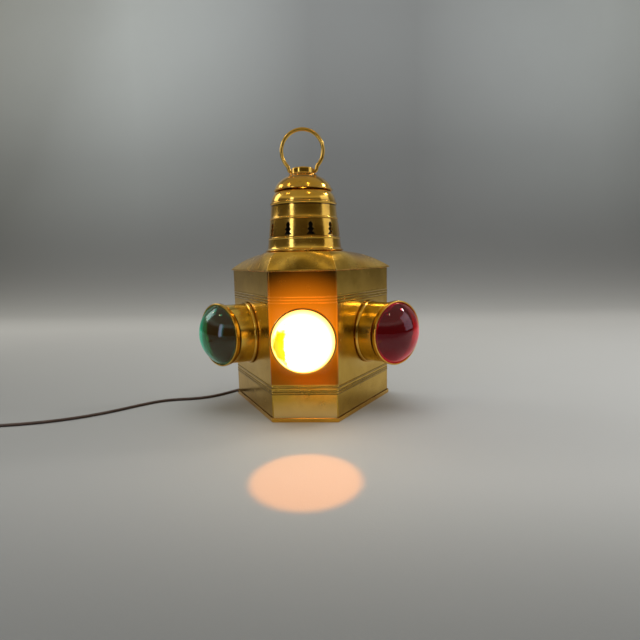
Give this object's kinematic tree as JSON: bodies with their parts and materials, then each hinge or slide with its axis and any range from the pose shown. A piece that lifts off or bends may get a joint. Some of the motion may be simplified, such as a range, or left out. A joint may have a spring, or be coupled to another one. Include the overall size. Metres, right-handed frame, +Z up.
{
  "type": "navigation light",
  "caption": "Brass combination lantern with red, green and clear bull's-eye lenses, a vented chimney, a lifting ring and a hinged rear door, wired as a lamp.",
  "frame": {"origin": "on the floor under the chimney's axis, in the base pan's flat underside", "axes": "+Z up, -Y out of the clear front lens, +X towards the red (port) lens"},
  "size_m": [0.6167, 0.3194, 0.3527],
  "materials": {
    "polished_brass": "polished, fine scratches, light tarnish",
    "housing_brass": "dull polished sheet",
    "zinc_steel": "zinc plated",
    "red_glass": "pressed glass, smooth",
    "green_glass": "pressed glass, smooth",
    "clear_glass": "pressed glass, smooth",
    "bulb_glass": "thin blown glass",
    "black_rubber": "moulded",
    "cord_brown": "moulded twin cord"
  },
  "bodies": {
    "housing": {"base_pan": "polished_brass", "body_shell": "housing_brass", "bracket_screw_left": "zinc_steel", "bracket_screw_right": "zinc_steel", "bulb_base": "polished_brass", "bulb_filament": "bulb_glass", "bulb_glass": "bulb_glass", "chimney_base": "polished_brass", "chimney_cap": "polished_brass", "chimney_hood": "polished_brass", "chimney_upper": "polished_brass", "cord_coil": "cord_brown", "cord_lead": "cord_brown", "cord_strain_relief": "black_rubber", "cord_tail": "cord_brown", "cord_tie": "black_rubber", "finial_collar": "polished_brass", "front_bezel": "polished_brass", "front_gasket": "black_rubber", "front_lens": "clear_glass", "hinge_pin": "zinc_steel", "hinge_wall_leaf": "polished_brass", "inner_flue": "polished_brass", "inner_lead": "cord_brown", "lamp_bracket": "zinc_steel", "lock_nut": "zinc_steel", "plug_blade_left": "polished_brass", "plug_blade_right": "polished_brass", "plug_body": "black_rubber", "port_base_ring": "polished_brass", "port_bezel": "polished_brass", "port_gasket": "black_rubber", "port_lens": "red_glass", "port_tube": "polished_brass", "roof": "polished_brass", "socket_cap": "polished_brass", "socket_insulator": "black_rubber", "socket_shell": "polished_brass", "starboard_base_ring": "polished_brass", "starboard_bezel": "polished_brass", "starboard_gasket": "black_rubber", "starboard_lens": "green_glass", "starboard_tube": "polished_brass", "threaded_nipple": "zinc_steel", "turn_button_stud": "polished_brass", "vent_band": "polished_brass"},
    "ring": {"lifting_ring": "polished_brass"},
    "door": {"rear_door": "polished_brass", "hinge_door_leaf": "polished_brass", "door_knob": "polished_brass"},
    "button": {"turn_button": "polished_brass"},
    "key": {"switch_key": "black_rubber"}
  },
  "joints": [
    {"name": "ring_swing", "type": "hinge", "parent": "housing", "child": "ring", "pos_m": [0, 0, 0.3006], "axis": [1, 0, 0], "range_deg": [-100, 100]},
    {"name": "door_hinge", "type": "hinge", "parent": "housing", "child": "door", "pos_m": [0.0575, 0.07587, 0.09], "axis": [0, 0, -1], "range_deg": [0, 120]},
    {"name": "button_turn", "type": "hinge", "parent": "housing", "child": "button", "pos_m": [-0.061, 0.0763, 0.09], "axis": [0, 1, 0], "range_deg": [0, 90]},
    {"name": "key_turn", "type": "hinge", "parent": "housing", "child": "key", "pos_m": [0, 0.02, 0.0265], "axis": [0, 1, 0], "continuous": true}
  ]
}
